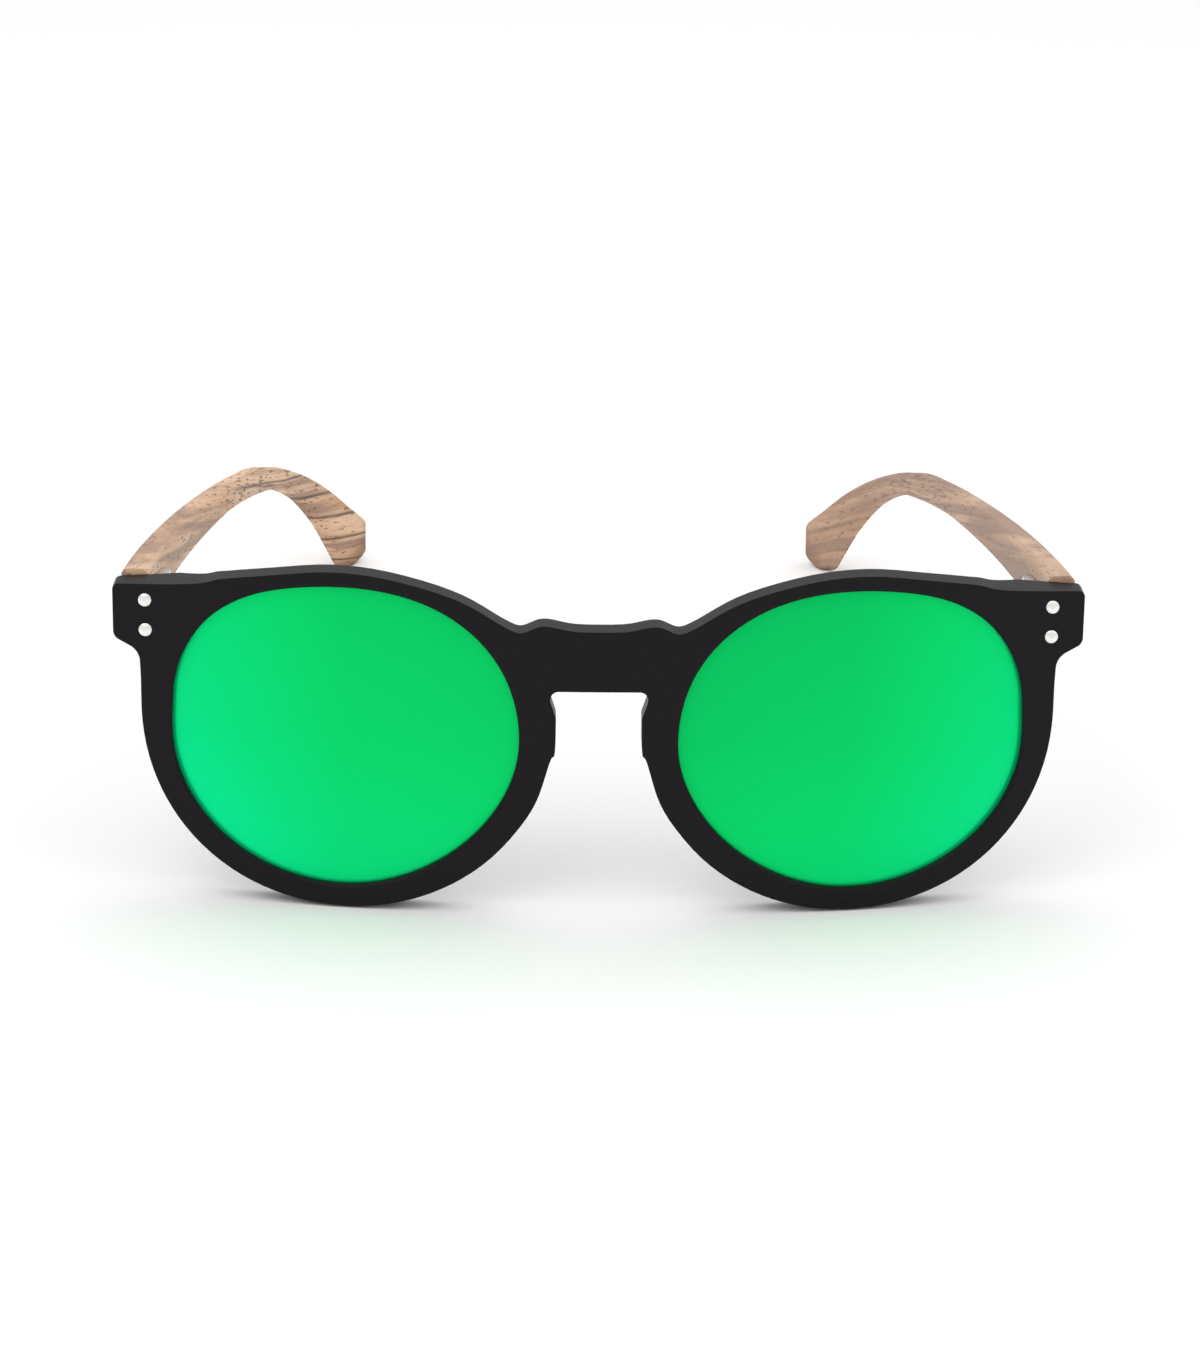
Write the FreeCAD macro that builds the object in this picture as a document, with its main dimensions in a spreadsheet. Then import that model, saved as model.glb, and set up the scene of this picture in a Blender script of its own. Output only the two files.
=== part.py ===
import FreeCAD, Part
import math
import os

import Sketcher
from FreeCAD import Placement, Rotation, Vector

# Round sunglasses with a moulded keyhole front and bent wooden temples on spring hinges.
# Millimetres. X runs to the right as the front is looked at, Y runs from the front to the
# ear tips and Z is up. The glasses stand open on the bottoms of the rims and on the ear tips.
# Every piece is drawn with its temples level and its top at height zero. The front is then
# leaned by its tilt, and the whole pair is pitched until rims and tips meet the floor.

doc = FreeCAD.newDocument("sunglasses")
sheet = doc.addObject("Spreadsheet::Sheet", "Sizes")

SIZES = {
    # front
    "front_width": 142.2,
    "front_bend_radius": 298.0,
    "front_thickness": 4.3,
    "front_tilt": 6.36,
    "lens_width": 51.0,
    "lens_height": 45.6,
    "lens_top": -1.4,
    "bridge_gap": 23.2,
    "rim_side": 4.5,
    "rim_bottom": 3.2,
    "keyhole_width": 14.2,
    "keyhole_top": -16.1,
    "bridge_top": -7.1,
    "end_piece_top": -2.75,
    "end_piece_height": 7.9,
    "aperture_edge": 0.3,
    # lenses
    "lens_thickness": 2.0,
    "lens_recess": 1.2,
    "lens_bevel": 0.6,
    "lens_clearance": 0.05,
    # nose pads
    "pad_length": 13.0,
    "pad_depth": 7.6,
    "pad_width": 3.2,
    # hinges
    "butt_y": 12.75,
    "hinge_level": -5.0,
    "hinge_inset": 1.75,
    "hinge_back": 1.55,
    "knuckle_radius": 1.4,
    "knuckle_height": 1.5,
    "middle_height": 2.0,
    "axial_clearance": 0.05,
    "screw_radius": 0.6,
    "pivot_clearance": 0.04,
    "plate_width": 6.6,
    "plate_height": 6.4,
    "plate_thickness": 0.9,
    "rivet_pitch": 4.52,
    "rivet_x": 66.26,
    "rivet_top": -4.83,
    "rivet_radius": 0.6,
    "rivet_head_radius": 0.98,
    "rivet_head_height": 0.3,
    # spring boxes
    "box_width": 3.2,
    "box_height": 3.4,
    "box_proud": 1.8,
    "box_front": 2.25,
    "box_length": 13.0,
    "box_tail": 8.5,
    "box_bore_radius": 1.2,
    "slider_side": 2.3,
    "slider_length": 3.0,
    "guide_clearance": 0.06,
    "rod_radius": 0.5,
    "spring_length": 5.7,
    "spring_radius": 0.85,
    "wire_radius": 0.15,
    "spring_turns": 6,
    "nut_radius": 1.1,
    "nut_length": 1.2,
    "stop_length": 1.0,
    "slide_travel": 1.3,
    # temples
    "temple_outer_x": 70.2,
    "temple_thickness": 4.0,
    "temple_height": 8.8,
    "temple_waist": 4.2,
    "temple_top": -0.3,
    "temple_straight": 102.0,
    "temple_reach": 140.7,
    "temple_drop": 22.8,
    "side_bow_radius": 555.0,
    "ear_bow_radius": 100.0,
    "temple_edge": 0.7,
    "flex_angle": 8.0,
    "butt_clearance": 0.06,
    "inlay_clearance": 0.04,
    # stance
    "rest_pitch": 10.8895,
    "rest_height": 50.562,
    "rest_shift": -72.433,
}
for row, (alias, value) in enumerate(SIZES.items(), start=1):
    sheet.set(f"A{row}", alias)
    sheet.set(f"B{row}", str(value))
    sheet.setAlias(f"B{row}", alias)
doc.recompute()


def size(alias):
    """One driving dimension, as the sheet holds it."""
    return float(sheet.get(alias))


def plane(body, role):
    """One of the body's own origin planes, by its role."""
    return next(part for part in body.Origin.OriginFeatures if part.Role == role)


def new_body(name, tilted=False):
    """A body that stands as the glasses do, leaned with the front if it belongs there."""
    body = doc.addObject("PartDesign::Body", name)
    body.Label = name
    body.Placement = Placement(Vector(0, 0, 0), Rotation(Vector(1, 0, 0), 1))
    lean = "Sizes.front_tilt - Sizes.rest_pitch" if tilted else "-Sizes.rest_pitch"
    body.setExpression("Placement.Rotation.Angle", lean)
    body.setExpression("Placement.Base.y", "Sizes.rest_shift")
    body.setExpression("Placement.Base.z", "Sizes.rest_height")
    return body


def new_sketch(body, name, role, offset=0.0, at=(0.0, 0.0), lean=0.0):
    """An empty sketch on an origin plane of its body, moved along that plane's normal and
    leaned about its own first axis."""
    sketch = body.newObject("Sketcher::SketchObject", f"{body.Name}_{name}")
    sketch.AttachmentSupport = [(plane(body, role), "")]
    sketch.MapMode = "FlatFace"
    turn = Rotation(Vector(1, 0, 0), lean)
    sketch.AttachmentOffset = Placement(Vector(at[0], at[1], offset), turn)
    return sketch


def flat(point):
    """A sketch point from a pair of numbers."""
    return Vector(point[0], point[1], 0)


def line(start, end):
    return Part.LineSegment(flat(start), flat(end))


def arc(start, middle, end):
    return Part.Arc(flat(start), flat(middle), flat(end))


def curve(points, start=None, end=None):
    """A smooth curve through the points, closed unless it is given its end directions."""
    spline = Part.BSplineCurve()
    places = [flat(point) for point in points]
    if start is None:
        spline.interpolate(places, PeriodicFlag=True)
    else:
        first, last = flat(start).normalize(), flat(end).normalize()
        spline.interpolate(places, InitialTangent=first, FinalTangent=last)
    return spline


def rounded(points, radii):
    """Straight lines through the points, with a tangent arc of its radius at each inner one."""
    pieces = []
    here = Vector(*points[0], 0)
    for before, corner, after, radius in zip(points, points[1:], points[2:], radii):
        corner = Vector(*corner, 0)
        come = (corner - Vector(*before, 0)).normalize()
        leave = (Vector(*after, 0) - corner).normalize()
        turn = come.getAngle(leave)
        reach = radius * math.tan(turn / 2)
        inward = (leave - come).normalize()
        middle = corner + inward * (radius / math.cos(turn / 2) - radius)
        first, last = corner - come * reach, corner + leave * reach
        pieces += [Part.LineSegment(here, first), Part.Arc(first, middle, last)]
        here = last
    return pieces + [Part.LineSegment(here, Vector(*points[-1], 0))]


def polygon(sketch, points):
    """A closed outline of straight lines."""
    ends = points[1:] + points[:1]
    sketch.addGeometry([line(a, b) for a, b in zip(points, ends)], False)


def box_outline(sketch, low, high):
    """A rectangle between two opposite corners."""
    polygon(sketch, [low, (high[0], low[1]), high, (low[0], high[1])])


def circle(sketch, centre, expression, radius):
    """A circle, whose radius follows the sheet where it is given an expression."""
    index = sketch.addGeometry(Part.Circle(flat(centre), Vector(0, 0, 1), radius), False)
    if expression is None:
        return index
    constraint = sketch.addConstraint(Sketcher.Constraint("Radius", index, radius))
    sketch.renameConstraint(constraint, f"radius_{index}")
    sketch.setExpression(f"Constraints.radius_{index}", expression)
    return index


def extrude(body, kind, name, sketch, length, both=False, reverse=False, through=False):
    """A pad or a pocket of a sketch. The length is a number or an expression of the sheet."""
    feature = body.newObject(f"PartDesign::{kind}", f"{body.Name}_{name}")
    feature.Profile = sketch
    if through:
        feature.Type = 1
    elif isinstance(length, str):
        feature.Length = 1
        feature.setExpression("Length", length)
    else:
        feature.Length = length
    feature.Midplane = both
    feature.Reversed = reverse
    sketch.Visibility = False
    doc.recompute()
    return feature


def round_edges(body, name, edges, radius, kind="Fillet"):
    """A fillet or chamfer on the named edges of the body's last feature."""
    base = body.Tip
    feature = body.newObject(f"PartDesign::{kind}", f"{body.Name}_{name}")
    feature.Base = (base, edges)
    value = "Radius" if kind == "Fillet" else "Size"
    feature.setExpression(value, radius)
    doc.recompute()
    return feature


def edges_where(shape, test):
    """The names of the edges whose sampled points all pass the test."""
    names = []
    for number, edge in enumerate(shape.Edges, start=1):
        if edge.Length < 1e-6:
            continue
        first, last = edge.ParameterRange
        points = [edge.valueAt(first + (last - first) * share) for share in (0.1, 0.5, 0.9)]
        if all(test(point) for point in points):
            names.append(f"Edge{number}")
    return names


# Shapes of the front


def bow(radius, x):
    """How far back a sheet bent to the radius lies at x."""
    return size("front_bend_radius") - math.sqrt(radius * radius - x * x)


def aperture_centre():
    return (
        size("bridge_gap") / 2 + size("lens_width") / 2,
        size("lens_top") - size("lens_height") / 2,
    )


def oval(angle, half_width, half_height, powers):
    """A point of a superellipse whose power differs from quarter to quarter."""
    c, s = math.cos(angle), math.sin(angle)
    power = powers[(s < 0) * 2 + (c < 0)]
    x = math.copysign(abs(c) ** (2 / power), c) * half_width
    z = math.copysign(abs(s) ** (2 / power), s) * half_height
    return x, z


# upper temple side, upper nose side, lower temple side, lower nose side
LENS_POWERS = (2.6, 2.15, 2.0, 1.87)
RIM_POWERS = (2.0, 2.0, 2.1, 2.0)
LENS_POINTS = 20


def lens_outline(side, grow):
    """The lens oval, grown outwards by a distance along its own normals."""
    half = size("lens_width") / 2, size("lens_height") / 2
    cx, cz = aperture_centre()
    points = []
    for step in range(LENS_POINTS):
        angle = 2 * math.pi * (step + 0.5) / LENS_POINTS
        x, z = oval(angle, *half, LENS_POWERS)
        x1, z1 = oval(angle - 0.01, *half, LENS_POWERS)
        x2, z2 = oval(angle + 0.01, *half, LENS_POWERS)
        length = math.hypot(x2 - x1, z2 - z1)
        nx, nz = (z2 - z1) / length, (x1 - x2) / length
        points.append((side * (cx + x + grow * nx), cz + z + grow * nz))
    return points


def half_outline():
    """The right half of the front's outline, from the middle of the bridge's top round the
    brow, the end piece and the rim to the middle of the keyhole's top."""
    edge = size("front_width") / 2
    top, height = size("end_piece_top"), size("end_piece_height")
    bottom = top - height
    cx, cz = aperture_centre()
    brow = size("lens_top") + 2.25
    bridge = size("bridge_top")
    notch = (size("bridge_gap") / 2 + 0.1, bridge - 0.25)
    half = size("bridge_gap") / 2 - 3.2
    side_x = cx + size("lens_width") / 2 + size("rim_side")
    rim_bottom = size("lens_top") - size("lens_height") - size("rim_bottom")
    inner_x = size("keyhole_width") / 2 - 0.85
    rim_x, rim_half = (side_x + inner_x) / 2, (side_x - inner_x) / 2
    rim_z = cz + 3.7
    key_x, key_z = size("keyhole_width") / 2, size("keyhole_top")
    brow_line = curve(
        [
            (0, bridge),
            (half * 0.6, bridge + 0.3),
            (half - 0.7, bridge + 0.82),
            (half + 0.5, bridge + 0.72),
            (notch[0] - 1.1, notch[1] + 0.22),
            notch,
            (notch[0] + 1.1, notch[1] + 0.35),
            (cx - 18.6, brow - 4.55),
            (cx - 11.0, brow - 1.75),
            (cx - 3.6, brow - 0.25),
            (cx + 3.4, brow),
            (cx + 10.0, brow - 0.75),
            (cx + 18.5, brow - 1.95),
            (edge - 5.0, top + 0.28),
        ],
        (1, 0),
        (5.0, -0.28),
    )
    rim_start = (side_x, bottom - 6.0)
    end_piece = rounded(
        [
            (edge - 5.0, top + 0.28),
            (edge, top),
            (edge, bottom - 0.1),
            (side_x + 0.15, bottom - 2.0),
            rim_start,
        ],
        [0.9, 1.4, 2.6],
    )
    rim_points = []
    for count in range(17):
        x, z = oval(-math.pi * count / 16, rim_half, rim_z - rim_bottom, RIM_POWERS)
        rim_points.append((rim_x + x, rim_z + z))
    rim_line = curve(rim_points, (0, -1), (0, 1))
    keyhole = rounded(
        [
            rim_points[-1],
            (inner_x, key_z - 4.1),
            (key_x, key_z - 1.6),
            (key_x, key_z),
            (0, key_z),
        ],
        [1.5, 1.5, 1.2],
    )
    side_line = line(rim_start, rim_points[0])
    return [brow_line, *end_piece, side_line, rim_line, *keyhole]


def mirrored(piece):
    """The same piece of outline on the other side of the middle."""
    copy = piece.copy()
    matrix = FreeCAD.Matrix()
    matrix.scale(-1, 1, 1)
    copy.transform(matrix)
    return copy


def bent_band(body, name, low_x, high_x, front_radius, back_radius):
    """A plan sketch of a bent sheet, between two circles about the same centre."""
    sketch = new_sketch(body, name, "XY_Plane", 5.0)
    middle = (low_x + high_x) / 2
    front = [(x, bow(front_radius, x)) for x in (low_x, middle, high_x)]
    back = [(x, bow(back_radius, x)) for x in (high_x, middle, low_x)]
    sketch.addGeometry(
        [arc(*front), line(front[2], back[0]), arc(*back), line(back[2], front[0])], False
    )
    return sketch


DEEP = 70.0
WIDE = 90.0


def front_frame():
    """The moulded front: a bent sheet cut to its outline, with end pieces thickened to the
    butt face, two grooved lens openings, nose pads, rivet holes and hinge recesses."""
    body = new_body("front_frame", tilted=True)
    radius = size("front_bend_radius")
    reach = size("front_width") / 2 + 2
    thickness = size("front_thickness")
    band = bent_band(body, "plan", -reach, reach, radius, radius - thickness)
    extrude(body, "Pad", "bent_sheet", band, DEEP, reverse=True)

    # the end pieces sweep back to meet the temples
    inner = size("rivet_x") - 4.7
    start = bow(radius, reach) + 0.8
    butt = size("butt_y")
    floor = size("end_piece_top") - size("end_piece_height") - 1.0
    blocks = new_sketch(body, "end_blocks", "XY_Plane", 2.0)
    for side in (-1, 1):
        root = (side * (inner - 9.0), bow(radius - thickness, inner - 9.0) - 0.3)
        knee = (side * (inner - 3.5), bow(radius - thickness, inner - 3.5) + 0.9)
        sweep = arc(root, knee, (side * inner, butt))
        blocks.addGeometry(
            [
                sweep,
                line((side * inner, butt), (side * inner, butt + 1.5)),
                line((side * inner, butt + 1.5), (side * reach, butt + 1.5)),
                line((side * reach, butt + 1.5), (side * reach, start)),
                line((side * reach, start), root),
            ],
            False,
        )
    extrude(body, "Pad", "end_pieces", blocks, 2.0 - floor, reverse=True)

    # the outline is cut right through
    outline = new_sketch(body, "outline", "XZ_Plane")
    box_outline(outline, (-WIDE, -WIDE), (WIDE, WIDE / 2))
    right = half_outline()
    outline.addGeometry(right + [mirrored(piece) for piece in right], False)
    extrude(body, "Pocket", "outline_cut", outline, None, both=True, through=True)

    # the backs of the end pieces are cut flat where the temples meet them
    trim = new_sketch(body, "butt_trim", "YZ_Plane")
    box_outline(trim, (butt, floor - 0.4), (40.0, 8.0))
    extrude(body, "Pocket", "butt_cut", trim, None, both=True, through=True)

    # lens openings
    openings = new_sketch(body, "openings", "XZ_Plane")
    for side in (-1, 1):
        openings.addGeometry([curve(lens_outline(side, 0.0))], False)
    extrude(body, "Pocket", "opening_cut", openings, None, both=True, through=True)

    # the moulding's edges are eased
    def on_bend(face_radius):
        def test(point):
            gap = math.hypot(point.x, point.y - radius) - face_radius
            return abs(gap) < 1e-4

        return test

    def in_opening(point):
        cx, cz = aperture_centre()
        x = (abs(point.x) - cx) / (size("lens_width") / 2 + 1.0)
        z = (point.z - cz) / (size("lens_height") / 2 + 1.0)
        return abs(x) ** 2.6 + abs(z) ** 2.6 < 1.0

    for name, face_radius in (("front", radius), ("back", radius - thickness)):
        on_face = on_bend(face_radius)
        hole = edges_where(body.Tip.Shape, lambda p: on_face(p) and in_opening(p))
        round_edges(body, f"{name}_opening_edge", hole, "Sizes.aperture_edge", kind="Chamfer")

    # nose pads, moulded on behind the rims
    for side, word in ((-1, "left"), (1, "right")):
        pad = body.newObject("PartDesign::AdditiveEllipsoid", f"front_frame_{word}_pad")
        pad.setExpression("Radius1", "Sizes.pad_length / 2")
        pad.setExpression("Radius2", "Sizes.pad_width / 2")
        pad.setExpression("Radius3", "Sizes.pad_depth / 2")
        pad_x = size("bridge_gap") / 2 - 1.7
        pad_z = size("keyhole_top") - 10.9
        lean = Rotation(Vector(0, 1, 0), -side * 15) * Rotation(Vector(0, 0, 1), -side * 25)
        pad.Placement = Placement(Vector(side * pad_x, thickness + 0.9, pad_z), lean)
        doc.recompute()

    # grooves for the lenses
    grooves = []
    for side, word in ((-1, "left"), (1, "right")):
        gap = size("lens_clearance")
        grooves.append(lens_body(f"{word}_groove", side, gap, free=True))
    cut = body.newObject("PartDesign::Boolean", "front_frame_grooves")
    cut.Type = "Cut"
    cut.setObjects(grooves)
    doc.recompute()

    # rivet holes, with flat seats for the heads
    seat = rivet_seat()
    holes = new_sketch(body, "rivet_holes", "XZ_Plane", -40.0)
    seats = new_sketch(body, "rivet_seats", "XZ_Plane", -seat)
    for side in (-1, 1):
        for z in rivet_levels():
            place = (side * size("rivet_x"), z)
            circle(holes, place, "Sizes.rivet_radius + 0.02", size("rivet_radius") + 0.02)
            circle(seats, place, "Sizes.rivet_head_radius + 0.02", size("rivet_head_radius"))
    extrude(body, "Pocket", "rivet_hole_cut", holes, 60.0, reverse=True)
    extrude(body, "Pocket", "rivet_seat_cut", seats, 6.0, reverse=True)

    # recesses for the hinge plates
    for side, word in ((-1, "left"), (1, "right")):
        recess = new_sketch(body, f"{word}_recess", "YZ_Plane", side * plate_x())
        gap = size("inlay_clearance")
        half = size("plate_height") / 2 + gap
        front = butt - size("plate_thickness") - gap
        box_outline(recess, (front, plate_z() - half), (front + 4.0, plate_z() + half))
        width = "Sizes.plate_width + 2 * Sizes.inlay_clearance"
        extrude(body, "Pocket", f"{word}_recess_cut", recess, width, both=True)
    return body


def lens_body(name, side, gap, free=False):
    """A lens, or the free-standing shape of its groove when it is given a gap."""
    if free:
        body = doc.addObject("PartDesign::Body", name)
    else:
        body = new_body(name, tilted=True)
    front = size("front_bend_radius") - size("lens_recess") + gap
    back = front - size("lens_thickness") - 2 * gap
    cx, cz = aperture_centre()
    half = size("lens_width") / 2 + 4
    low, high = sorted((side * (cx - half), side * (cx + half)))
    band = bent_band(body, "plan", low, high, front, back)
    extrude(body, "Pad", "bent_sheet", band, DEEP, reverse=True)
    outline = new_sketch(body, "outline", "XZ_Plane")
    box_outline(outline, (-WIDE, -WIDE), (WIDE, WIDE / 2))
    outline.addGeometry([curve(lens_outline(side, size("lens_bevel") + gap))], False)
    extrude(body, "Pocket", "outline_cut", outline, None, both=True, through=True)
    rims = []
    for number, edge in enumerate(body.Tip.Shape.Edges, start=1):
        if edge.Length > 60:
            rims.append(f"Edge{number}")
    round_edges(body, "bevel", rims, "Sizes.lens_bevel", kind="Chamfer")
    return body


# Rivets and hinges


def rivet_levels():
    """Heights of the upper and the lower rivet on the front."""
    return size("rivet_top"), size("rivet_top") - size("rivet_pitch")


def rivet_seat():
    """How far back the flat seats of the rivet heads lie."""
    return bow(size("front_bend_radius"), size("rivet_x")) + 0.4


def plate_x():
    """The middle of a hinge plate, sideways."""
    return size("rivet_x") - 0.91


def plate_z():
    return sum(rivet_levels()) / 2


def hinge_x():
    return size("temple_outer_x") - size("temple_thickness") - size("hinge_inset")


def hinge_y():
    """How far back the hinge pin stands, measured as the front leans."""
    return size("butt_y") + size("hinge_back")


def hinge_z():
    """The middle knuckle's height, measured as the front leans."""
    lean = math.radians(size("front_tilt"))
    return (size("hinge_level") - hinge_y() * math.sin(lean)) / math.cos(lean)


def pivot_y():
    """How far back the middle knuckle's centre is, measured as the temples run."""
    lean = math.radians(size("front_tilt"))
    return hinge_y() * math.cos(lean) - hinge_z() * math.sin(lean)


def rod_x():
    """The middle of the spring box and its rod, sideways."""
    return hinge_x() + 1.55


def box_y():
    return pivot_y() + size("box_front")


def revolve(body, name, sketch, axis):
    feature = body.newObject("PartDesign::Revolution", f"{body.Name}_{name}")
    feature.Profile = sketch
    feature.ReferenceAxis = (sketch, [axis])
    feature.Angle = 360
    sketch.Visibility = False
    doc.recompute()
    return feature


def dome(radius, lip, crown):
    """The profile of a round cap, from its lip to its crown on the axis."""
    height = crown - lip
    ball = (radius * radius + height * height) / (2 * height)
    turn = math.asin(radius / abs(ball)) / 2
    middle = (abs(ball) * math.sin(turn), crown - ball * (1 - math.cos(turn)))
    return arc((radius, lip), middle, (0, crown))


def rivet(name, side, z):
    """A domed pin through the front and the hinge plate behind it."""
    body = new_body(name, tilted=True)
    front = bow(size("front_bend_radius"), size("rivet_x"))
    back = size("butt_y") - 0.08
    shank, head = size("rivet_radius"), size("rivet_head_radius")
    seat, lip = rivet_seat() - 0.02, front - 0.12
    crown = lip - size("rivet_head_height")
    profile = new_sketch(body, "profile", "XY_Plane", z, at=(side * size("rivet_x"), 0))
    profile.addGeometry(
        [
            line((0, crown), (0, back)),
            line((0, back), (shank, back)),
            line((shank, back), (shank, seat)),
            line((shank, seat), (head, seat)),
            line((head, seat), (head, lip)),
            dome(head, lip, crown),
        ],
        False,
    )
    revolve(body, "turned", profile, "V_Axis")
    return body


def front_hinge(name, side):
    """The two-knuckle hinge leaf let into the end piece."""
    body = new_body(name, tilted=True)
    half_w, half_h = size("plate_width") / 2, size("plate_height") / 2
    middle = side * plate_x()
    plate = new_sketch(body, "plate", "XZ_Plane", -size("butt_y"))
    box_outline(plate, (middle - half_w, plate_z() - half_h), (middle + half_w, plate_z() + half_h))
    for z in rivet_levels():
        place = (side * size("rivet_x"), z)
        circle(plate, place, "Sizes.rivet_radius + 0.08", size("rivet_radius") + 0.08)
    extrude(body, "Pad", "plate_pad", plate, "Sizes.plate_thickness")
    r = size("knuckle_radius")
    x, y = side * hinge_x(), hinge_y()
    gap = size("middle_height") / 2 + size("axial_clearance")
    for word, low in (
        ("upper", hinge_z() + gap),
        ("lower", hinge_z() - gap - size("knuckle_height")),
    ):
        knuckle = new_sketch(body, f"{word}_knuckle", "XY_Plane", low)
        start = size("butt_y") - 0.05
        knuckle.addGeometry(
            [
                line((x - r, start), (x + r, start)),
                line((x + r, start), (x + r, y)),
                arc((x + r, y), (x, y + r), (x - r, y)),
                line((x - r, y), (x - r, start)),
            ],
            False,
        )
        circle(knuckle, (x, y), "Sizes.screw_radius + 0.02", size("screw_radius") + 0.02)
        extrude(body, "Pad", f"{word}_knuckle_pad", knuckle, "Sizes.knuckle_height")
    return body


def hinge_screw(name, side):
    """The slotted screw that is the hinge's pin."""
    body = new_body(name, tilted=True)
    reach = size("middle_height") / 2 + size("axial_clearance") + size("knuckle_height")
    low, high = hinge_z() - reach, hinge_z() + reach
    profile = new_sketch(body, "profile", "XZ_Plane", -hinge_y(), at=(side * hinge_x(), 0))
    shank = size("screw_radius")
    head = 2 * shank
    profile.addGeometry(
        [
            line((0, low), (shank, low)),
            line((shank, low), (shank, high + 0.02)),
            line((shank, high + 0.02), (head, high + 0.02)),
            line((head, high + 0.02), (head, high + 0.4)),
            dome(head, high + 0.4, high + 0.65),
            line((0, high + 0.65), (0, low)),
        ],
        False,
    )
    revolve(body, "turned", profile, "V_Axis")
    slot = new_sketch(body, "slot", "XY_Plane", high + 0.8)
    x, y = side * hinge_x(), hinge_y()
    box_outline(slot, (x - 1.5, y - 0.15), (x + 1.5, y + 0.15))
    extrude(body, "Pocket", "slot_cut", slot, 0.45)
    return body


# Spring boxes


def slider(name, side):
    """The middle knuckle with its arm, the square guide block and the spring rod."""
    body = new_body(name)
    r = size("knuckle_radius")
    x = side * hinge_x()
    half = size("slider_side") / 2
    block_x = side * rod_x()
    block_y = box_y() - 0.3
    inner, outer = block_x - side * half, block_x + side * half
    lean = math.radians(size("front_tilt"))
    drop = size("middle_height") / 2
    base = size("hinge_level") - drop * math.cos(lean)
    shift = pivot_y() + drop * math.sin(lean)
    arm = new_sketch(body, "arm", "XY_Plane", base, at=(0, shift), lean=size("front_tilt"))
    near, far = block_y - pivot_y(), block_y - pivot_y() + 0.15
    arm.addGeometry(
        [
            line((x - side * r, 0), (inner, near)),
            line((inner, near), (inner, far)),
            line((inner, far), (outer, far)),
            line((outer, far), (outer, near)),
            line((outer, near), (x + side * r, 0)),
            arc((x + side * r, 0), (x, -r), (x - side * r, 0)),
        ],
        False,
    )
    hole = size("screw_radius") + size("pivot_clearance")
    circle(arm, (x, 0), "Sizes.screw_radius + Sizes.pivot_clearance", hole)
    extrude(body, "Pad", "arm_pad", arm, "Sizes.middle_height")
    back = box_y() + size("slider_length")
    block = new_sketch(body, "block", "XZ_Plane", -back)
    level = size("hinge_level")
    box_outline(block, (block_x - half, level - half), (block_x + half, level + half))
    extrude(body, "Pad", "block_pad", block, back - block_y)
    rod_end = box_y() + spring_start() + size("spring_length") + size("nut_length") + 0.25
    rod = new_sketch(body, "rod", "XZ_Plane", -rod_end)
    circle(rod, (block_x, level), "Sizes.rod_radius", size("rod_radius"))
    extrude(body, "Pad", "rod_pad", rod, rod_end - back + 0.5)
    return body


def stop_start():
    """How far behind the box's mouth the stop ring begins."""
    return size("slider_length") + 0.2


def spring_start():
    return stop_start() + size("stop_length") + 0.05


def spring(name, side):
    """The coil between the box's stop ring and the nut on the rod, with a six-sided wire."""
    body = new_body(name)
    wire, coil = size("wire_radius"), size("spring_radius")
    start = box_y() + spring_start() + wire
    profile = new_sketch(
        body, "wire", "XY_Plane", size("hinge_level"), at=(side * rod_x(), 0)
    )
    corners = []
    for count in range(6):
        angle = math.pi * count / 3
        corners.append((coil + wire * math.cos(angle), start + wire * math.sin(angle)))
    polygon(profile, corners)
    helix = body.newObject("PartDesign::AdditiveHelix", f"{name}_coil")
    helix.Profile = profile
    helix.ReferenceAxis = (profile, ["V_Axis"])
    helix.Mode = 0
    height = size("spring_length") - 2 * wire - 0.04
    helix.Pitch = height / size("spring_turns")
    helix.Height = height
    helix.Angle = 0
    helix.Growth = 0
    doc.recompute()
    return body


def ring(name, side, start, length, outer, hole, sides=0):
    """A ring or a six-sided nut round the rod's line."""
    body = new_body(name)
    end = box_y() + start + size(length)
    face = new_sketch(body, "face", "XZ_Plane", -end)
    centre = (side * rod_x(), size("hinge_level"))
    if sides:
        corners = []
        for count in range(sides):
            angle = 2 * math.pi * count / sides
            corners.append(
                (
                    centre[0] + size(outer) * math.cos(angle),
                    centre[1] + size(outer) * math.sin(angle),
                )
            )
        polygon(face, corners)
    else:
        circle(face, centre, f"Sizes.{outer} - 0.02", size(outer) - 0.02)
    circle(face, centre, f"Sizes.rod_radius + {hole}", size("rod_radius") + hole)
    extrude(body, "Pad", "pad", face, f"Sizes.{length}")
    return body


def box_profile(grow):
    """The side view of a spring box: straight, then running out to a point."""
    front, level = box_y() - grow, size("hinge_level")
    half = size("box_height") / 2 + grow
    shoulder = box_y() + size("box_length")
    tip = shoulder + size("box_tail") + 2 * grow
    middle = shoulder + 0.5 * size("box_tail")
    upper = arc((shoulder, level + half), (middle, level + half * 0.68), (tip, level))
    lower = arc((tip, level), (middle, level - half * 0.68), (shoulder, level - half))
    return [
        line((front, level - half), (front, level + half)),
        line((front, level + half), (shoulder, level + half)),
        upper,
        lower,
        line((shoulder, level - half), (front, level - half)),
    ]


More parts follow.
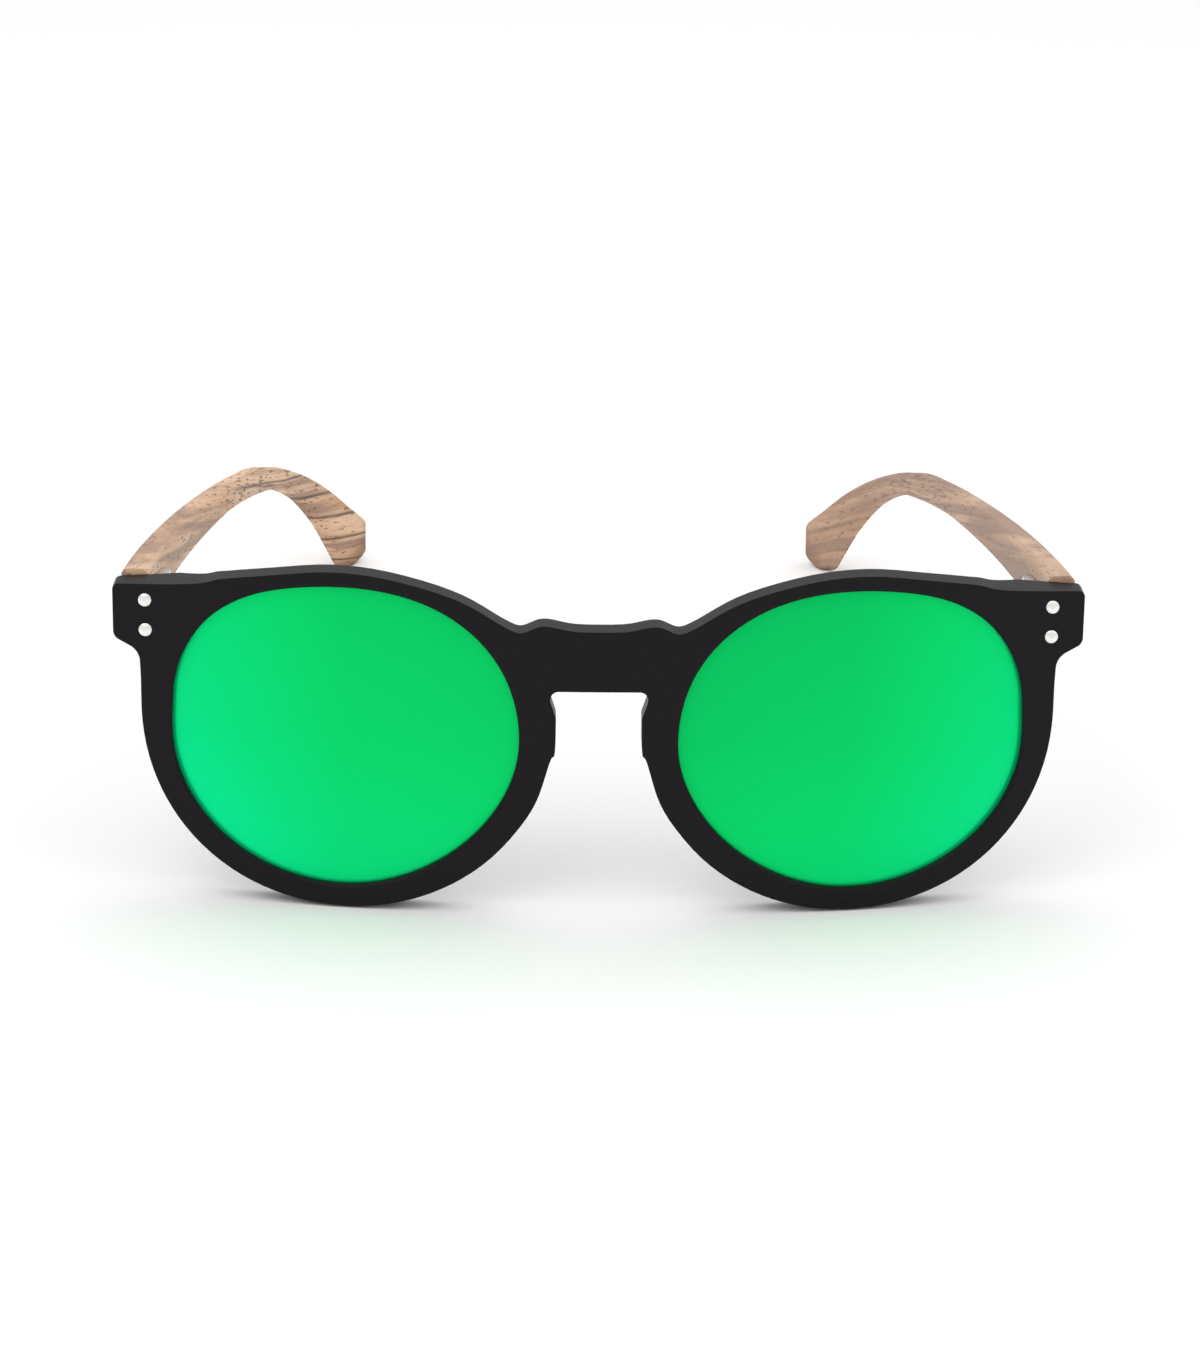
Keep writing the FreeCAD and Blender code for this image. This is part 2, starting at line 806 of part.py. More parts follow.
def spring_box(name, side):
    """The pointed metal box let into the temple's inner face."""
    body = new_body(name)
    middle = side * rod_x()
    profile = new_sketch(body, "profile", "YZ_Plane", middle)
    profile.addGeometry(box_profile(0.0), False)
    extrude(body, "Pad", "solid", profile, "Sizes.box_width", both=True)
    inner = middle - side * size("box_width") / 2
    shoulder = box_y() + size("box_length")
    tip = shoulder + size("box_tail")
    ramp = new_sketch(body, "ramp", "XY_Plane", 20.0)
    polygon(
        ramp,
        [
            (inner, shoulder),
            (inner + side * 1.35, tip + 0.1),
            (inner + side * 1.35, tip + 2.0),
            (inner - side * 2.0, tip + 2.0),
            (inner - side * 2.0, shoulder),
        ],
    )
    extrude(body, "Pocket", "ramp_cut", ramp, 60.0)
    half = size("slider_side") / 2 + size("guide_clearance")
    level = size("hinge_level")
    mouth = new_sketch(body, "mouth", "XZ_Plane", -box_y())
    box_outline(mouth, (middle - half, level - half), (middle + half, level + half))
    extrude(body, "Pocket", "mouth_cut", mouth, "Sizes.slider_length + 0.15")
    bore = new_sketch(body, "bore", "XZ_Plane", -box_y())
    circle(bore, (middle, level), "Sizes.box_bore_radius", size("box_bore_radius"))
    extrude(body, "Pocket", "bore_cut", bore, size("box_length") - 1.0)
    hole = new_sketch(body, "screw_hole", "YZ_Plane", side * 80.0)
    circle(hole, (box_screw_y(), level), None, 0.48)
    extrude(body, "Pocket", "screw_hole_cut", hole, 60.0, reverse=side < 0)
    seat = new_sketch(body, "screw_seat", "YZ_Plane", side * (rod_x() - 0.75))
    circle(seat, (box_screw_y(), level), None, 0.78)
    extrude(body, "Pocket", "screw_seat_cut", seat, 4.0, reverse=side < 0)
    return body


def box_screw_y():
    return box_y() + size("box_length") + 1.6


def box_screw(name, side):
    """The small screw that holds the spring box in the wood."""
    body = new_body(name)
    level = size("hinge_level")
    profile = new_sketch(body, "profile", "XY_Plane", level, at=(0, box_screw_y()))
    seat = side * (rod_x() - 0.77)
    face = seat - side * 0.42
    end = side * (size("temple_outer_x") - 1.6)
    profile.addGeometry(
        [
            line((face, 0), (face, 0.75)),
            line((face, 0.75), (seat, 0.75)),
            line((seat, 0.75), (seat, 0.45)),
            line((seat, 0.45), (end - side * 0.4, 0.45)),
            line((end - side * 0.4, 0.45), (end, 0)),
            line((end, 0), (face, 0)),
        ],
        False,
    )
    revolve(body, "turned", profile, "H_Axis")
    slot = new_sketch(body, "slot", "XY_Plane", 20.0)
    deep = face + side * 0.2
    middle = box_screw_y()
    box_outline(slot, (min(face, deep) - 0.2, middle - 0.12), (max(face, deep), middle + 0.12))
    if side < 0:
        slot_low, slot_high = min(face, deep), max(face, deep) + 0.2
        slot.deleteAllGeometry()
        box_outline(slot, (slot_low, middle - 0.12), (slot_high, middle + 0.12))
    extrude(body, "Pocket", "slot_cut", slot, 60.0)
    return body


# Temples


def temple_arcs(side, inset):
    """Plan arcs of a temple face: the long side bow and the tighter one round the ear."""
    radius_1 = size("side_bow_radius") - inset
    radius_2 = size("ear_bow_radius") - inset
    x1, y1 = size("temple_outer_x") - size("side_bow_radius"), size("butt_y")
    turn = size("temple_straight") / size("side_bow_radius")
    shift = size("side_bow_radius") - size("ear_bow_radius")
    x2, y2 = x1 + shift * math.cos(turn), y1 + shift * math.sin(turn)
    start = -1.5 / radius_1
    final = math.asin((size("butt_y") + size("temple_reach") + 2.0 - y2) / radius_2)

    def at(x, y, radius, angle):
        return side * (x + radius * math.cos(angle)), y + radius * math.sin(angle)

    first = [at(x1, y1, radius_1, start + (turn - start) * share) for share in (0, 0.5, 1)]
    second = [at(x2, y2, radius_2, turn + (final - turn) * share) for share in (0, 0.5, 1)]
    return first, second


def temple_profile():
    """The side view of a temple: straight to the bend, then down to a square-cut tip."""
    top = size("temple_top")
    bend = size("butt_y") + size("temple_straight")
    tip = size("butt_y") + size("temple_reach")
    span, drop = tip - bend, size("temple_drop")
    waist = top - size("temple_waist")
    front = size("butt_y") - 3.0

    def at(along, down):
        return bend + along * span, top - down * drop

    upper = [at(0, 0), at(0.21, 0.024), at(0.42, 0.099), at(0.626, 0.22), at(0.81, 0.395)]
    upper.append(at(0.92, 0.53))
    lower = [
        at(0.838, 0.850),
        at(0.704, 0.636),
        at(0.574, 0.461),
        at(0.445, 0.338),
        at(0.29, 0.252),
        (bend + 0.109 * span, waist - 0.75),
        (bend - 0.098 * span, waist - 0.15),
        (bend - 0.305 * span, waist),
        (bend - 0.512 * span, waist - 0.22),
    ]
    low = (front, top - size("temple_height") - 0.16)
    rise = (low[0] - lower[-1][0], low[1] - lower[-1][1])
    end = rounded(
        [upper[-1], (tip, top - 0.632 * drop), (tip, top - 0.905 * drop), at(0.91, 1.0), lower[0]],
        [1.6, 1.9, 1.8],
    )
    return [
        line((front, low[1]), (front, top)),
        line((front, top), upper[0]),
        curve(upper, (1, 0), (0.08 * span, -0.102 * drop)),
        *end,
        curve(lower, (-0.072 * span, 0.125 * drop), rise),
        line(lower[-1], low),
    ]


def temple(name, side):
    """A bent strip of wood, with a pocket for its spring box and a slot for the slider."""
    body = new_body(name)
    outer_1, outer_2 = temple_arcs(side, 0.0)
    inner_1, inner_2 = temple_arcs(side, size("temple_thickness"))
    plan = new_sketch(body, "plan", "XY_Plane", 4.0)
    plan.addGeometry(
        [
            arc(*outer_1),
            arc(*outer_2),
            line(outer_2[2], inner_2[2]),
            arc(*reversed(inner_2)),
            arc(*reversed(inner_1)),
            line(inner_1[0], outer_1[0]),
        ],
        False,
    )
    extrude(body, "Pad", "bent_strip", plan, DEEP, reverse=True)
    side_view = new_sketch(body, "side_view", "YZ_Plane")
    box_outline(side_view, (-20.0, -80.0), (220.0, 20.0))
    side_view.addGeometry(temple_profile(), False)
    extrude(body, "Pocket", "side_cut", side_view, None, both=True, through=True)
    return body


def trim_butt(body, side):
    """Cuts the front end to lie flat on the end piece when the temple is flexed outwards."""
    mitre = new_sketch(body, "mitre", "XY_Plane", lean=size("front_tilt"))
    base = size("butt_clearance") + size("butt_y")
    slope = math.tan(math.radians(size("flex_angle")))
    near, far = hinge_x() - 8, hinge_x() + 12
    polygon(
        mitre,
        [
            (side * near, base - 9.0),
            (side * near, base - 8 * slope),
            (side * far, base + 12 * slope),
            (side * far, base - 9.0),
        ],
    )
    extrude(body, "Pocket", "mitre_cut", mitre, None, both=True, through=True)


def ease_temple(body):
    """Eases the long edges of a temple, all the way round from its two top edges."""
    level = size("temple_top")
    shape = body.Tip.Shape
    names = []
    for number, edge in enumerate(shape.Edges, start=1):
        if abs(edge.BoundBox.ZMin - level) < 1e-6 and edge.BoundBox.YLength > 50.0:
            names.append(f"Edge{number}")
    return round_edges(body, "long_edge", names, "Sizes.temple_edge", kind="Chamfer")


def temple_pockets(body, side):
    """The pocket of the spring box, the slot of its slider and the pilot of its screw."""
    gap = size("inlay_clearance")
    floor = side * (rod_x() + size("box_width") / 2 + gap)
    pocket = new_sketch(body, "box_pocket", "YZ_Plane", floor)
    pocket.addGeometry(box_profile(gap), False)
    extrude(body, "Pocket", "box_pocket_cut", pocket, 10.0, reverse=side < 0)
    level = size("hinge_level")
    slot = new_sketch(body, "slider_slot", "YZ_Plane", side * (rod_x() + 1.3))
    box_outline(slot, (size("butt_y") - 4, level - 1.5), (box_y() + 0.1, level + 1.5))
    extrude(body, "Pocket", "slider_slot_cut", slot, 10.0, reverse=side < 0)
    pilot = new_sketch(body, "pilot", "YZ_Plane", side * (size("temple_outer_x") - 1.5))
    circle(pilot, (box_screw_y(), level), None, 0.47)
    extrude(body, "Pocket", "pilot_cut", pilot, 10.0, reverse=side < 0)


# The assembly. Left and right are as the front is looked at.

nodes = [front_frame()]
for side, word in ((-1, "left"), (1, "right")):
    nodes.append(lens_body(f"{word}_lens", side, 0.0))
    nodes.append(rivet(f"{word}_upper_rivet", side, rivet_levels()[0]))
    nodes.append(rivet(f"{word}_lower_rivet", side, rivet_levels()[1]))
    nodes.append(front_hinge(f"{word}_front_hinge", side))
    nodes.append(hinge_screw(f"{word}_hinge_screw", side))
    nodes.append(slider(f"{word}_slider", side))
    nodes.append(spring(f"{word}_spring", side))
    nut_start = spring_start() + size("spring_length")
    nodes.append(ring(f"{word}_rod_nut", side, nut_start, "nut_length", "nut_radius", 0.02, 6))
    nodes.append(
        ring(f"{word}_spring_stop", side, stop_start(), "stop_length", "box_bore_radius", 0.06)
    )
    nodes.append(spring_box(f"{word}_spring_box", side))
    nodes.append(box_screw(f"{word}_box_screw", side))
    wood = temple(f"{word}_temple", side)
    ease_temple(wood)
    trim_butt(wood, side)
    temple_pockets(wood, side)
    nodes.append(wood)

doc.recompute()
for item in doc.Objects:
    if "Invalid" in item.State or "Error" in item.State:
        raise SystemExit(f"{item.Name} has failed")
os.makedirs("parts", exist_ok=True)
for node in nodes:
    if node.Shape.isNull() or not node.Shape.isValid():
        raise SystemExit(f"{node.Label} has no valid shape")
    node.Shape.exportStep(f"parts/{node.Label}.step")
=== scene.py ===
import math

import bmesh
import bpy
import numpy as np
from mathutils import Matrix, Vector


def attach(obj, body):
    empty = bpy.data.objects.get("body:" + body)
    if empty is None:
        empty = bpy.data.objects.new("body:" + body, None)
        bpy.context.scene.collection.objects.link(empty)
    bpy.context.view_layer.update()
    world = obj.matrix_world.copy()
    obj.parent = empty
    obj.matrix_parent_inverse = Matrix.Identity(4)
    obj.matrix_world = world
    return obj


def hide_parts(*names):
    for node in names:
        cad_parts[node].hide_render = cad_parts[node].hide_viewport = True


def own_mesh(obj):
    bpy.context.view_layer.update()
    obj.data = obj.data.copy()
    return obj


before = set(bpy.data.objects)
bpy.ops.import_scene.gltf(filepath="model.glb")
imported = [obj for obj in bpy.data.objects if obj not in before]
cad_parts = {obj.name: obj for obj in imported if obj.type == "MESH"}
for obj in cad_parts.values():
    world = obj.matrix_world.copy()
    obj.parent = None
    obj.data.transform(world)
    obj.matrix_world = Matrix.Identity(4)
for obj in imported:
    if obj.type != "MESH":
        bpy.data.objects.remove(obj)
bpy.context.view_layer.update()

# Looks of the sunglasses. Metres, in the frame's own axes: X to the viewer's right, Y back along
# the temples, Z up. The glasses stand open on their rims and ear tips, so everything that is
# measured here with level temples is pitched and lifted by the stance below.

PITCH = math.radians(10.8895)
SHIFT = Vector((0.0, -0.072433, 0.050562))


def stand(point):
    """A point measured with level temples, as it stands in the frame."""
    turned = Matrix.Rotation(-PITCH, 3, "X") @ Vector(point)
    return turned + SHIFT


def direction(vector):
    """A direction measured with level temples, as it stands in the frame."""
    return Matrix.Rotation(-PITCH, 3, "X") @ Vector(vector)


def stand_rows(points):
    """Rows of points measured with level temples, as they stand in the frame."""
    return points @ np.array(Matrix.Rotation(PITCH, 3, "X")) + np.array(SHIFT)


def level_rows(points):
    """Rows of points of the frame, as they lie with level temples."""
    return (points - np.array(SHIFT)) @ np.array(Matrix.Rotation(PITCH, 3, "X")).T


def show(name, data):
    """Puts a mesh, light or camera in the scene as an object at the origin."""
    thing = bpy.data.objects.new(name, data)
    bpy.context.scene.collection.objects.link(thing)
    return thing


# The temples round the ear

# the blank: its front end, the length before the bend, its outer face and its thickness
BUTT = 0.01275
STRAIGHT = 0.102
OUTER = 0.0702
THICK = 0.004
# radii of its outer face along the head and round the ear
SIDE_BOW = 0.555
EAR_BOW = 0.100
# its top edge: the drop at the front end, and the rate of its fall round the ear
TOP_DROP = 0.0003
TOP_FALL = 8.4
# the thinner tip, and where the wood starts and ends to get thinner
TIP_THICK = 0.0024
THINNING = (0.095, 0.140)
# the lift of the underside, the depth over which it grows, and where it starts and ends
LIFT = 0.0018
LIFT_DEPTH = 0.006
LIFT_RISE = (0.104, 0.140)
LIFT_CLOSE = (0.142, 0.150)
WELD = 1e-7
WOOD_EDGE = math.radians(22)


def step(values, start, end):
    """Rises smoothly from 0 at the start to 1 at the end."""
    share = np.clip((values - start) / (end - start), 0.0, 1.0)
    return share * share * (3.0 - 2.0 * share)


def slim_temple(word, side):
    """A temple that gets thinner and shallower round the ear than the blank in the frame.

    In plan the blank lies between two circles about one centre, a wide pair along the head and
    a tighter pair round the ear. Each point keeps its share of the way from the inner circle to
    the outer one, while the distance between them shrinks smoothly to that of the tip. Under
    the bend each point is raised by a share of the lift that grows with its depth below the top
    edge, which falls as a parabola. The very end keeps its place and stands on the floor."""
    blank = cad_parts[f"{word}_temple"].data
    points = np.empty(3 * len(blank.vertices))
    blank.vertices.foreach_get("co", points)
    level = level_rows(points.reshape(-1, 3))
    x, y, z = side * level[:, 0], level[:, 1], level[:, 2]

    turn = STRAIGHT / SIDE_BOW
    near = np.array([OUTER - SIDE_BOW, BUTT])
    far = near + (SIDE_BOW - EAR_BOW) * np.array([math.cos(turn), math.sin(turn)])
    ear = y > BUTT + SIDE_BOW * math.sin(turn)
    centre = np.where(ear[:, None], far, near)
    bow = np.where(ear, EAR_BOW, SIDE_BOW)
    arm = np.column_stack([x, y]) - centre
    reach = np.hypot(arm[:, 0], arm[:, 1])
    depth = np.clip(reach - (bow - THICK), 0.0, THICK)
    shrink = (1.0 - TIP_THICK / THICK) * step(y, *THINNING)
    arm *= ((reach - depth * shrink) / reach)[:, None]
    plan = arm + centre

    fall = np.maximum(y - BUTT - STRAIGHT, 0.0)
    below = np.clip((-TOP_DROP - TOP_FALL * fall**2 - z) / LIFT_DEPTH, 0.0, 1.0)
    lift = LIFT * step(y, *LIFT_RISE) * (1.0 - step(y, *LIFT_CLOSE))
    slim = stand_rows(np.column_stack([side * plan[:, 0], plan[:, 1], z + lift * below]))

    corners = np.empty(3 * len(blank.polygons), dtype=int)
    blank.polygons.foreach_get("vertices", corners)
    mesh = bpy.data.meshes.new(f"{word}_wood")
    mesh.from_pydata(slim.tolist(), [], corners.reshape(-1, 3).tolist())
    whole = bmesh.new()
    whole.from_mesh(mesh)
    bmesh.ops.remove_doubles(whole, verts=whole.verts, dist=WELD)
    whole.to_mesh(mesh)
    whole.free()
    mesh.shade_smooth()
    mesh.set_sharp_from_angle(angle=WOOD_EDGE)
    piece = show(f"{word}_wood", mesh)
    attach(piece, f"{word}_side")
    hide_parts(f"{word}_temple")
    return piece


temples = [slim_temple("left", -1), slim_temple("right", 1)]


# The springs inside the boxes

ROD_X = 0.0660
ROD_Z = -0.0050
COIL_START = 0.02145
COIL_END = 0.02711
COIL_RADIUS = 0.00085
WIRE_RADIUS = 0.00015
WIRE_SIDES = 10
COIL_TURNS = 6
TURN_STEPS = 24


def coil(word, side):
    """A round wire wound evenly round the rod. Its middle line is a helix. Round each of its
    points the skin is a circle, in the plane of the outward direction and of the direction
    that stands square to that and to the helix."""
    steps = TURN_STEPS * COIL_TURNS + 1
    share = np.linspace(0.0, 1.0, steps)[:, None]
    angle = 2.0 * math.pi * COIL_TURNS * share
    low, high = COIL_START + WIRE_RADIUS, COIL_END - WIRE_RADIUS
    out = np.hstack([np.cos(angle), 0.0 * angle, np.sin(angle)])
    middle = COIL_RADIUS * out + np.array([side * ROD_X, low, ROD_Z])
    middle[:, 1:2] += (high - low) * share
    round_way = np.hstack([-np.sin(angle), 0.0 * angle, np.cos(angle)])
    way = 2.0 * math.pi * COIL_TURNS * COIL_RADIUS * round_way + np.array([0.0, high - low, 0.0])
    square = np.cross(way, out)
    square /= np.linalg.norm(square, axis=1)[:, None]
    turn = np.linspace(0.0, 2.0 * math.pi, WIRE_SIDES, endpoint=False)[None, :, None]
    skin = np.cos(turn) * out[:, None] + np.sin(turn) * square[:, None]
    wire = stand_rows((middle[:, None] + WIRE_RADIUS * skin).reshape(-1, 3))

    row, column = np.divmod(np.arange((steps - 1) * WIRE_SIDES), WIRE_SIDES)
    here = row * WIRE_SIDES + column
    along = row * WIRE_SIDES + (column + 1) % WIRE_SIDES
    faces = np.column_stack([here, along, along + WIRE_SIDES, here + WIRE_SIDES]).tolist()
    faces.append(list(range(WIRE_SIDES))[::-1])
    faces.append(list(range((steps - 1) * WIRE_SIDES, steps * WIRE_SIDES)))
    mesh = bpy.data.meshes.new(f"{word}_coil")
    mesh.from_pydata(wire.tolist(), [], faces)
    outward = bmesh.new()
    outward.from_mesh(mesh)
    bmesh.ops.recalc_face_normals(outward, faces=outward.faces)
    outward.to_mesh(mesh)
    outward.free()
    mesh.shade_smooth()
    piece = show(f"{word}_coil", mesh)
    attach(piece, f"{word}_slide_arm")
    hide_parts(f"{word}_spring")
    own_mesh(piece)
    return piece


coils = [coil("left", -1), coil("right", 1)]


# Node trees


class Tree:
    """A material and short ways to add and join its nodes."""

    def __init__(self, name):
        self.material = bpy.data.materials.new(name)
        self.material.use_nodes = True
        self.nodes = self.material.node_tree.nodes
        self.links = self.material.node_tree.links
        self.surface = next(n for n in self.nodes if n.type == "BSDF_PRINCIPLED")

    def add(self, kind, inputs=None, **settings):
        """A new node with its settings and inputs."""
        node = self.nodes.new(kind)
        for key, value in settings.items():
            setattr(node, key, value)
        for key, value in (inputs or {}).items():
            self.put(node.inputs[key], value)
        return node

    def put(self, socket, value):
        """Sets a socket, or joins it to another node's output."""
        if isinstance(value, bpy.types.NodeSocket):
            self.links.new(value, socket)
        else:
            socket.default_value = value

    def set(self, **values):
        """Sets sockets of the surface, with underscores for spaces."""
        for key, value in values.items():
            self.put(self.surface.inputs[key.replace("_", " ")], value)

    def math(self, operation, a, b=0.0):
        """One sum on one or two values."""
        return self.add("ShaderNodeMath", {0: a, 1: b}, operation=operation).outputs[0]

    def coordinates(self):
        """A point's place on its own piece."""
        return self.add("ShaderNodeTexCoord").outputs["Object"]

    def scaled(self, vector, scale):
        """A vector with each part multiplied by its own scale."""
        node = self.add("ShaderNodeVectorMath", {0: vector, 1: scale}, operation="MULTIPLY")
        return node.outputs[0]

    def turned(self, vector, turn):
        """A vector turned by three angles."""
        return self.add("ShaderNodeMapping", {"Vector": vector, "Rotation": turn}).outputs[0]

    def split(self, vector):
        """The three parts of a vector."""
        return tuple(self.add("ShaderNodeSeparateXYZ", {"Vector": vector}).outputs)

    def noise(self, vector, scale=1.0, detail=2.0, roughness=0.5, distortion=0.0):
        """Cloudy noise between 0 and 1."""
        inputs = {"Vector": vector, "Scale": scale, "Detail": detail}
        inputs.update({"Roughness": roughness, "Distortion": distortion})
        return self.add("ShaderNodeTexNoise", inputs).outputs["Fac"]

    def ramp(self, value, stops):
        """A colour ramp from a list of places and colours."""
        node = self.add("ShaderNodeValToRGB", {"Fac": value})
        elements = node.color_ramp.elements
        while len(elements) < len(stops):
            elements.new(0.5)
        for element, (place, colour) in zip(elements, stops):
            element.position = place
            element.color = (*colour, 1.0)
        return node.outputs["Color"]

    def grey(self, value, low, high):
        """Stretches a value smoothly, so that low becomes 0 and high becomes 1."""
        inputs = {"Value": value, "From Min": low, "From Max": high}
        return self.add("ShaderNodeMapRange", inputs, interpolation_type="SMOOTHSTEP").outputs[0]

    def between(self, value, low, high):
        """Stretches a value from 0 to 1 evenly, so that it lies between low and high."""
        inputs = {"Value": value, "To Min": low, "To Max": high}
        return self.add("ShaderNodeMapRange", inputs).outputs[0]

    def mix(self, share, a, b):
        """The first colour, with a share of the second over it."""
        node = self.add("ShaderNodeMix", data_type="RGBA")
        self.put(node.inputs["Factor"], share)
        self.put(node.inputs[6], a if isinstance(a, bpy.types.NodeSocket) else (*a, 1.0))
        self.put(node.inputs[7], b if isinstance(b, bpy.types.NodeSocket) else (*b, 1.0))
        return node.outputs[2]

    def bump(self, height, distance, strength, normal):
        """Relief on top of a normal."""
        inputs = {"Height": height, "Distance": distance, "Strength": strength, "Normal": normal}
        return self.add("ShaderNodeBump", inputs).outputs[0]

    def soft_edges(self, radius):
        """The surface's normal with its sharp edges rounded to the radius."""
        return self.add("ShaderNodeBevel", {"Radius": radius}, samples=8).outputs[0]


def wear(tree, *names):
    """Puts a material on the named nodes of the frame."""
    for name in names:
        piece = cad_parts[name]
        piece.data.materials.clear()
        piece.data.materials.append(tree.material)


def both(*names):
    """The names of the left and the right piece of each kind."""
    return [f"{side}_{name}" for name in names for side in ("left", "right")]


# The black front

FRONT_BLACK = (0.0085, 0.0068, 0.0085, 1.0)
FRONT_EDGE = 0.00045


def moulded_front():
    """Near-black moulding with a satin skin and a faint grain."""
    tree = Tree("front_satin")
    place = tree.coordinates()
    grain = tree.noise(place, scale=2600.0)
    cloud = tree.noise(place, scale=60.0, detail=3.0)
    tree.set(Base_Color=FRONT_BLACK, Roughness=tree.between(cloud, 0.33, 0.43))
    tree.set(Specular_IOR_Level=0.12)
    tree.set(Normal=tree.bump(grain, 0.000006, 0.5, tree.soft_edges(FRONT_EDGE)))
    wear(tree, "front_frame")


# The lenses

# the middle of the lens and half its size, across and in height
LENS_MIDDLE = (0.0371, 0.0260)
LENS_HALF = (0.0261, 0.0235)
LENS_TINT = (0.030, 0.034, 0.032)
LENS_GREENS = [
    (0.0, (0.0, 0.55, 0.115)),
    (0.35, (0.0, 0.68, 0.145)),
    (0.7, (0.0, 0.75, 0.22)),
    (1.0, (0.0, 0.86, 0.33)),
]
LENS_TONE = 0.27
# painted shade: how much darker the right lens is painted than the left
PAINTED_RIGHT_SHADE = 0.07
# how much the tone rises outwards and downwards, and falls inwards and upwards
OUTWARD_TONE = (0.5, 0.1)
DOWNWARD_TONE = (0.36, 0.16)


def mirrored_lens():
    """A green mirror, bluer and lighter at its outer and lower edge, with painted shade that
    makes the right lens darker.
    The mirror coat is only on the front, and the back shows the dark tint of the lens."""
    tree = Tree("lens_mirror")
    x, y, z = tree.split(tree.coordinates())
    out = tree.math("SUBTRACT", tree.math("ABSOLUTE", x), LENS_MIDDLE[0])
    out = tree.math("DIVIDE", out, LENS_HALF[0])
    low = tree.math("DIVIDE", tree.math("SUBTRACT", LENS_MIDDLE[1], z), LENS_HALF[1])
    # painted shade that darkens the right lens
    darker = tree.math("MULTIPLY", tree.math("SIGN", x), PAINTED_RIGHT_SHADE)
    tone = tree.math("SUBTRACT", LENS_TONE, darker)
    for value, (rise, fall) in ((out, OUTWARD_TONE), (low, DOWNWARD_TONE)):
        gain = tree.math("MULTIPLY", tree.math("MAXIMUM", value, 0.0), rise)
        loss = tree.math("MULTIPLY", tree.math("MINIMUM", value, 0.0), fall)
        tone = tree.math("ADD", tone, tree.math("ADD", gain, loss))
    facing = tree.split(tree.add("ShaderNodeTexCoord").outputs["Normal"])[1]
    coat = tree.grey(facing, 0.3, -0.3)
    colour = tree.mix(coat, LENS_TINT, tree.ramp(tone, LENS_GREENS))
    tree.set(Base_Color=colour, Metallic=tree.math("MULTIPLY", coat, 0.5))
    tree.set(Roughness=tree.between(coat, 0.12, 0.3), Specular_IOR_Level=0.1)
    wear(tree, *both("lens"))


# The wood

# the thin dark layers: their distance, the highest one and how far they wander
LAYER = 0.0043
TOP_LAYER = -0.0040
WANDER = 0.0016
# the slope of the layers before the tip, and of those of the right tip behind the bend
TIP_START = 0.1285
SINK = 0.1
BEND_END = 0.130
RIGHT_SLOPE = 0.35
# how fast the temples bow inwards, and how far apart the two patterns are taken
BOW_RATE = 0.9
PATTERN_GAP = 0.37
# where the pores crowd, and where the slanted end is burnt
BEND = 0.112
END_SLANT = 0.9
BURNT_END = (0.1655, 0.1705)

TAN = (0.60, 0.355, 0.205)
PALE_TAN = (0.80, 0.54, 0.36)
STREAK_BROWN = (0.27, 0.17, 0.13)
LINE_BROWN = (0.25, 0.15, 0.11)
THREAD_BROWN = (0.37, 0.22, 0.135)
LAYER_BROWN = (0.095, 0.058, 0.045)
BURNT_BROWN = (0.16, 0.085, 0.045)
PORE_BROWN = (0.09, 0.055, 0.042)
DULL_BROWN = (0.40, 0.275, 0.215)


def blank_height(tree, y, z, right):
    """How high a point lies among the layers of the blank from which a temple is bent. They
    sink towards the ear, and run level in the left tip and downwards in the right one."""
    before = tree.math("MINIMUM", tree.math("SUBTRACT", y, TIP_START), 0.0)
    past = tree.math("MAXIMUM", tree.math("SUBTRACT", y, BEND_END), 0.0)
    sink = tree.math("MULTIPLY", before, SINK)
    down = tree.math("MULTIPLY", tree.math("MULTIPLY", past, right), RIGHT_SLOPE)
    return tree.math("ADD", z, tree.math("ADD", sink, down))


